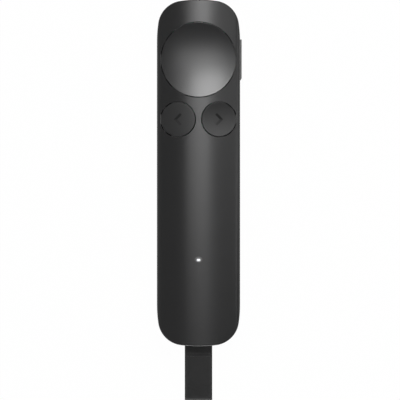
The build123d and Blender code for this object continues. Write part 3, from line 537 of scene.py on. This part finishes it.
def strapMoves():
    # the middle line, once round from the top of the bar: 0 and a length for a straight
    # run, or an angle and a radius for a turn
    neckRun, neckReach = slopeFrom(strap["barRadius"], strap["neckSlope"])
    foldRun, foldReach = slopeFrom(strap["foldRadius"], strap["foldSlope"])
    flat = barY - foldY - neckReach - foldReach
    oneWay = [(0, neckRun), (-strap["neckSlope"], strap["bendRadius"]), (0, flat),
              (-strap["foldSlope"], strap["bendRadius"]), (0, foldRun)]
    aroundFold = (180 + 2 * strap["foldSlope"], strap["foldRadius"])
    aroundBar = (180 + 2 * strap["neckSlope"], strap["barRadius"])
    return oneWay + [aroundFold] + oneWay[::-1] + [aroundBar]


def startStrap(y, z):
    # one edge across the webbing, in edit mode: a plane that keeps only its rear edge
    deselectAll()
    bpy.ops.mesh.primitive_plane_add(size=strap["width"], location=(0, y, z))
    piece = bpy.context.object
    piece.name = "strap_webbing"
    bpy.ops.object.transform_apply(location=True)
    bpy.ops.object.mode_set(mode="EDIT")
    pickVertices(piece, lambda at: at.y > y)
    bpy.ops.mesh.delete(type="VERT")
    bpy.ops.mesh.select_mode(type="EDGE")
    bpy.ops.mesh.select_all(action="SELECT")
    bpy.ops.transform.translate(value=(0, strap["width"] / 2, 0))
    return piece


def goStraight(line, heading, length):
    # line holds y, z and the distance walked so far
    steps = max(1, round(length / strap["runPitch"]))
    step = length / steps
    dy = step * math.cos(math.radians(heading))
    dz = step * math.sin(math.radians(heading))
    for _ in range(steps):
        bpy.ops.mesh.extrude_edges_move(TRANSFORM_OT_translate={"value": (0, dy, dz)})
        y, z, walked = line[-1]
        line.append((y + dy, z + dz, walked + step))


def goRound(line, heading, degrees, radius):
    steps = max(2, round(abs(degrees) / strap["turnPitch"]))
    side = math.copysign(radius, degrees)
    y, z, walked = line[-1]
    middleY = y - side * math.sin(math.radians(heading))
    middleZ = z + side * math.cos(math.radians(heading))
    # spin turns the other way from the right-hand rule, so its angle is negative
    bpy.ops.mesh.spin(steps=steps, angle=-math.radians(degrees),
                      center=(0, middleY, middleZ), axis=(1, 0, 0))
    for _ in range(steps):
        heading += degrees / steps
        y = middleY + side * math.sin(math.radians(heading))
        z = middleZ - side * math.cos(math.radians(heading))
        walked += abs(math.radians(degrees) / steps) * radius
        line.append((y, z, walked))
    return heading


def buildStrap():
    neck = math.radians(strap["neckSlope"])
    y = barY - strap["barRadius"] * math.sin(neck)
    z = barZ + strap["barRadius"] * math.cos(neck)
    piece = startStrap(y, z)
    line = [(y, z, 0.0)]
    heading = 180 + strap["neckSlope"]
    for degrees, size in strapMoves():
        if degrees == 0:
            goStraight(line, heading, size)
        else:
            heading = goRound(line, heading, degrees, size)
    bpy.ops.mesh.select_mode(type="VERT")
    bpy.ops.mesh.select_all(action="SELECT")
    bpy.ops.mesh.remove_doubles(threshold=strap["mergeRoom"])
    bpy.ops.mesh.normals_make_consistent(inside=False)
    bpy.ops.object.mode_set(mode="OBJECT")
    addModifier(piece, "SOLIDIFY", thickness=strap["thickness"], offset=0.0)
    addModifier(piece, "BEVEL", width=strap["edgeRound"], segments=strap["edgeSegments"],
                limit_method="ANGLE", angle_limit=math.radians(strap["edgeAngle"]))
    smooth(piece, strap["smoothAngle"])
    return piece, line


def placeAlong(line, y, z):
    # how far round the middle line its nearest point lies
    nearest, along = math.inf, 0.0
    for (y0, z0, walked0), (y1, z1, walked1) in zip(line, line[1:]):
        dy, dz = y1 - y0, z1 - z0
        share = ((y - y0) * dy + (z - z0) * dz) / (dy * dy + dz * dz)
        share = min(1.0, max(0.0, share))
        off = math.hypot(y - y0 - share * dy, z - z0 - share * dz)
        if off < nearest:
            nearest, along = off, walked0 + share * (walked1 - walked0)
    return along


def mapWeave(piece, line):
    # x across and y along the webbing, in metres, in a map named weave
    length = line[-1][2]
    places = piece.data.vertices
    layer = piece.data.uv_layers.new(name="weave")
    alongs = [placeAlong(line, vertex.co.y, vertex.co.z) for vertex in places]
    for face in piece.data.polygons:
        spread = [alongs[index] for index in face.vertices]
        wraps = max(spread) - min(spread) > length / 2
        for loop, index, along in zip(face.loop_indices, face.vertices, spread):
            if wraps and along < length / 2:
                along += length
            layer.data[loop].uv = (places[index].co.x, along)


strapPiece, strapLine = buildStrap()
mapWeave(strapPiece, strapLine)
webbing, tree, shader = startMaterial("black webbing")
weaveMap = put(tree, "ShaderNodeUVMap", uv_map="weave").outputs[0]
weave = useGroup(tree, webbingWeave, weaveMap, {
    "Color": strap["colour"] + (1,), "Gap Shade": strap["gapShade"],
    "Thread Pitch": strap["threadPitch"], "Half Width": strap["width"] / 2,
    "Selvedge Width": strap["selvedgeWidth"], "Selvedge Tone": strap["selvedgeTone"],
    "Roughness": strap["rough"]})
finishSurface(tree, shader, weave, strap["weaveDepth"])
feed(tree, shader, {"Sheen Weight": strap["sheen"], "Sheen Roughness": strap["sheenRough"],
                    "Specular IOR Level": strap["shine"]})
strapPiece.data.materials.append(webbing)
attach(strapPiece, "strap")
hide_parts("strap_loop")

# Stitches that close the loop at its neck; shares are of a stitch's length
stitches = {"rowYs": (-67.6 * mm, -68.8 * mm), "count": 9, "length": 0.75 * mm, "pitch": 0.98 * mm,
            "radius": 0.11 * mm, "sides": 8, "bendShare": 0.3, "endShare": 0.45, "endSize": 0.7,
            "sink": 0.12 * mm, "smoothAngle": 60, "colour": (0.024, 0.024, 0.0243)}


def buildStitch():
    # a short thread along x, with both ends thinner and sunk
    deselectAll()
    bpy.ops.mesh.primitive_cylinder_add(vertices=stitches["sides"], radius=stitches["radius"],
                                        depth=stitches["length"],
                                        rotation=(0, math.pi / 2, 0))
    stitch = bpy.context.object
    bpy.ops.object.transform_apply(rotation=True)
    bpy.ops.object.mode_set(mode="EDIT")
    bpy.ops.mesh.select_all(action="SELECT")
    bendX = stitches["bendShare"] * stitches["length"]
    for cutX in (-bendX, bendX):
        bpy.ops.mesh.bisect(plane_co=(cutX, 0, 0), plane_no=(1, 0, 0))
        bpy.ops.mesh.select_all(action="SELECT")
    pickVertices(stitch, lambda at: abs(at.x) > stitches["endShare"] * stitches["length"])
    sunk = (0, 0, -stitches["sink"])
    bpy.ops.transform.translate(value=sunk)
    bpy.ops.transform.resize(value=(1, stitches["endSize"], stitches["endSize"]),
                             center_override=sunk)
    bpy.ops.object.mode_set(mode="OBJECT")
    smooth(stitch, stitches["smoothAngle"])
    return stitch


def sewStitches(stitch):
    # rows of copies on both faces of the loop, joined as one piece
    faceZ = strap["neckHeight"] + strap["thickness"] / 2
    copies = []
    for side in (1, -1):
        for rowY in stitches["rowYs"]:
            for number in range(stitches["count"]):
                x = (number - (stitches["count"] - 1) / 2) * stitches["pitch"]
                useOnly(stitch)
                bpy.ops.object.duplicate()
                copy = bpy.context.object
                if side < 0:
                    copy.rotation_euler = (math.pi, 0, 0)
                copy.location = (x, rowY, barZ + side * faceZ)
                bpy.ops.object.transform_apply(location=True, rotation=True)
                copies.append(copy)
    bpy.data.objects.remove(stitch)
    useOnly(copies[0])
    for copy in copies:
        copy.select_set(True)
    bpy.ops.object.join()
    piece = bpy.context.object
    piece.name = "strap_stitches"
    return piece


stitchPiece = sewStitches(buildStitch())
threadLook = {"colour": stitches["colour"], "grain": 0.08, "tone": 0.3, "rough": 0.6, "gloss": 0.1,
              "depth": 0.01}
stitchPiece.data.materials.append(mouldedMaterial("sewing thread", threadLook)[0])
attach(stitchPiece, "strap")
print("stitches made")

# Floor, sky, lamps and camera
studio = {
    "floorSize": 6.0, "floorColour": (0.9, 0.9, 0.9, 1), "floorLift": 0.985,
    "floorDrop": 5.2 * mm,  # leaves room for the strap to hang at its full swing
    "skyLeft": 0.355, "skyLow": 0.4, "horizon": (0.45, 0.1),
    "cameraPlace": (0.56 * mm, -10.12 * mm, 2517.0 * mm), "lens": 601.5, "sensor": 36.0,
    "clip": (0.01, 50.0),
}
# name: place, size and aim in millimetres, and watts
softboxes = {
    "right softbox": ((300, 423, 905), (819, 910), (0, 30, 7), 3.06),
    "middle softbox": ((3, 275, 716), (294, 647), (0, 0, 7), 0.94),
    "crown softbox": ((3, 48, 716), (294, 96), (3, 48, 7), 0.17),
    "front softbox": ((68, 276, 692), (216, 311), (0, 0, 7), 1.87),
    "side softbox": ((295, 0, 270), (110, 110), (0, 0, 7), 0.056),
    "low softbox": ((368, 75, 156), (100, 200), (0, 75, 7), 0.092),
    "rear softbox": ((0, -800, 150), (400, 120), (0, -85, 7), 3.4),
}


def addFloor():
    # pale, close to white to the camera, and clear from below to show the object's back
    deselectAll()
    bpy.ops.mesh.primitive_plane_add(size=studio["floorSize"],
                                     location=(0, 0, -studio["floorDrop"]))
    floor = bpy.context.object
    floor.name = "floor"
    floorPale = bpy.data.materials.new("pale floor")
    floorPale.use_nodes = True
    tree = floorPale.node_tree
    tree.nodes.clear()
    paths = put(tree, "ShaderNodeLightPath").outputs
    direct = calc(tree, "ADD", paths["Is Camera Ray"], paths["Is Glossy Ray"], clamp=True)
    direct = calc(tree, "ADD", direct, paths["Is Transmission Ray"], clamp=True)
    lift = calc(tree, "MULTIPLY", direct, studio["floorLift"])
    matt = put(tree, "ShaderNodeBsdfDiffuse", {"Color": studio["floorColour"]}).outputs[0]
    glow = put(tree, "ShaderNodeEmission", {"Color": grey(1.0), "Strength": 1.0}).outputs[0]
    pale = put(tree, "ShaderNodeMixShader", {0: lift, 1: matt, 2: glow}).outputs[0]
    under = put(tree, "ShaderNodeNewGeometry").outputs["Backfacing"]
    clear = put(tree, "ShaderNodeBsdfTransparent").outputs[0]
    blend = put(tree, "ShaderNodeMixShader", {0: under, 1: pale, 2: clear}).outputs[0]
    put(tree, "ShaderNodeOutputMaterial", {"Surface": blend})
    floor.data.materials.append(floorPale)
    return floor


def makeSky():
    # brighter to the left and near the horizon, and plain white to the camera
    world = bpy.data.worlds.new("soft studio")
    bpy.context.scene.world = world
    world.use_nodes = True
    tree = world.node_tree
    tree.nodes.clear()
    outwards = put(tree, "ShaderNodeTexCoord").outputs["Generated"]
    way = put(tree, "ShaderNodeSeparateXYZ", {0: outwards}).outputs
    leftwards = calc(tree, "MINIMUM", way["X"], 0.0)
    high = calc(tree, "MULTIPLY", leftwards, -studio["skyLeft"])
    low = remap(tree, way["Z"], studio["horizon"], (0.0, 1.0))
    level = mixValue(tree, low, high, studio["skyLow"])
    paths = put(tree, "ShaderNodeLightPath").outputs
    seen = calc(tree, "MAXIMUM", paths["Is Camera Ray"], paths["Is Transmission Ray"])
    level = mixValue(tree, seen, level, 1.0)
    sky = put(tree, "ShaderNodeBackground", {"Color": grey(1.0), "Strength": level}).outputs[0]
    put(tree, "ShaderNodeOutputWorld", {"Surface": sky})


def addSoftbox(name, place, size, aim, watts):
    # its width lies across the object, and its length along it
    place, aim = Vector(place) * mm, Vector(aim) * mm
    bpy.ops.object.light_add(type="AREA", location=place)
    lamp = bpy.context.object
    lamp.name = name
    lamp.data.shape = "RECTANGLE"
    lamp.data.size, lamp.data.size_y = size[0] * mm, size[1] * mm
    lamp.data.energy = watts
    back = (place - aim).normalized()
    side = Vector((0, 1, 0)).cross(back).normalized()
    turn = Matrix((side, back.cross(side), back)).transposed()
    lamp.rotation_euler = turn.to_euler()


def addCamera():
    # high above, looking straight down
    bpy.ops.object.camera_add(location=studio["cameraPlace"], rotation=(0, 0, 0))
    camera = bpy.context.object
    camera.data.lens = studio["lens"]
    camera.data.sensor_width = studio["sensor"]
    camera.data.clip_start, camera.data.clip_end = studio["clip"]
    bpy.context.scene.camera = camera


addFloor()
makeSky()
for name, (place, size, aim, watts) in softboxes.items():
    addSoftbox(name, place, size, aim, watts)
addCamera()
bpy.context.scene.view_settings.view_transform = "Standard"
print("studio set")
